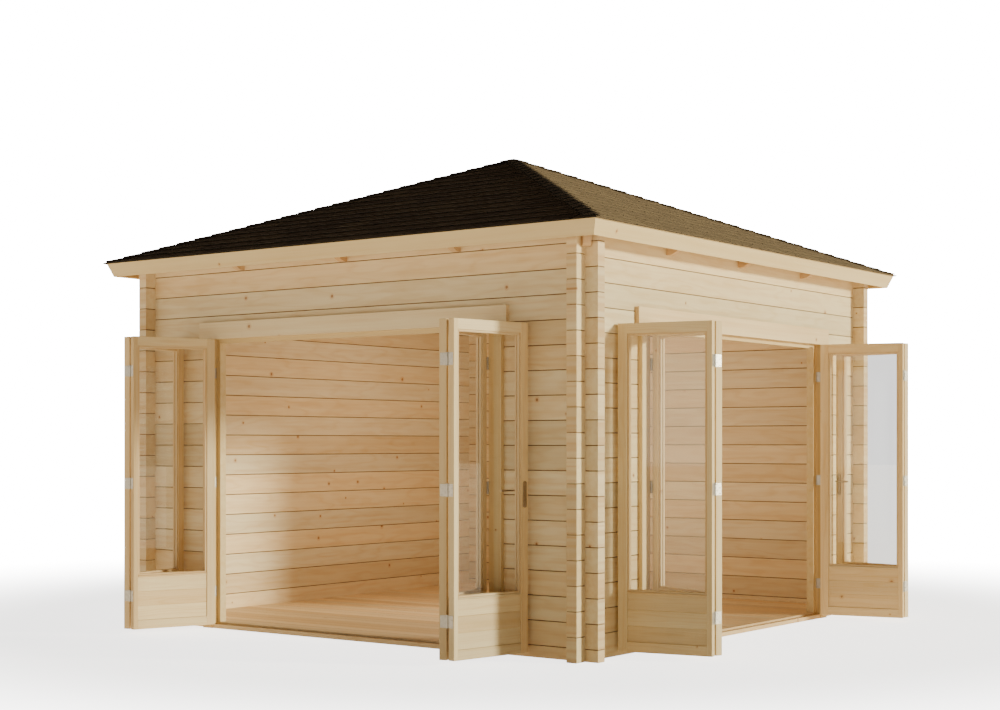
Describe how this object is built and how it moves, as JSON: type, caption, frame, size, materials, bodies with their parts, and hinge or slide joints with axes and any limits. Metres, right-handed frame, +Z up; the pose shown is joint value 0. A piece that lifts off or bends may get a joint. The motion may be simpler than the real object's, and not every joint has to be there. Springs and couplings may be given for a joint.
{
  "type": "log garden house",
  "caption": "Square garden house of crossed logs with a shingled pyramid roof, a boarded floor and two wide folding glazed doorways standing open on adjoining sides.",
  "frame": {"origin": "on the ground at the middle of the square house, under the middle floor joist", "axes": "+X out through the right-hand wall with its doorway, -Y out through the front wall with its doorway, +Z up"},
  "size_m": [4.4876, 4.4848, 3.2945],
  "materials": {
    "wall_logs": "planed, untreated",
    "trim_wood": "planed, untreated",
    "door_wood": "planed, untreated",
    "floor_wood": "planed, untreated",
    "roof_timber": "sawn and planed, untreated",
    "clear_glass": "clear",
    "hinge_steel": "zinc plated",
    "handle_metal": "dark satin",
    "shingle_felt": "mineral grit on bitumen felt"
  },
  "bodies": {
    "root": {"floor_joists": "roof_timber", "floor_boards": "floor_wood", "front_threshold": "trim_wood", "right_threshold": "trim_wood", "front_wall_left": "wall_logs", "front_wall_right": "wall_logs", "front_wall_top": "wall_logs", "right_wall_near": "wall_logs", "right_wall_far": "wall_logs", "right_wall_top": "wall_logs", "back_wall": "wall_logs", "left_wall": "wall_logs", "front_door_frame": "trim_wood", "right_door_frame": "trim_wood", "front_side_casings": "trim_wood", "right_side_casings": "trim_wood", "front_head_casing": "trim_wood", "right_head_casing": "trim_wood", "front_leaf_left_jamb": "door_wood", "front_leaf_left_lead": "door_wood", "front_leaf_right_jamb": "door_wood", "front_leaf_right_lead": "door_wood", "right_leaf_near_jamb": "door_wood", "right_leaf_near_lead": "door_wood", "right_leaf_far_jamb": "door_wood", "right_leaf_far_lead": "door_wood", "front_door_glass": "clear_glass", "right_door_glass": "clear_glass", "front_door_hinges": "hinge_steel", "right_door_hinges": "hinge_steel", "front_door_handle": "handle_metal", "right_door_handle": "handle_metal", "eave_blocks": "roof_timber", "common_rafters": "roof_timber", "hip_rafters": "roof_timber", "roof_hub": "roof_timber", "front_roof_boards": "roof_timber", "right_roof_boards": "roof_timber", "back_roof_boards": "roof_timber", "left_roof_boards": "roof_timber", "fascia_boards": "trim_wood", "front_shingles": "shingle_felt", "right_shingles": "shingle_felt", "back_shingles": "shingle_felt", "left_shingles": "shingle_felt"}
  },
  "joints": []
}
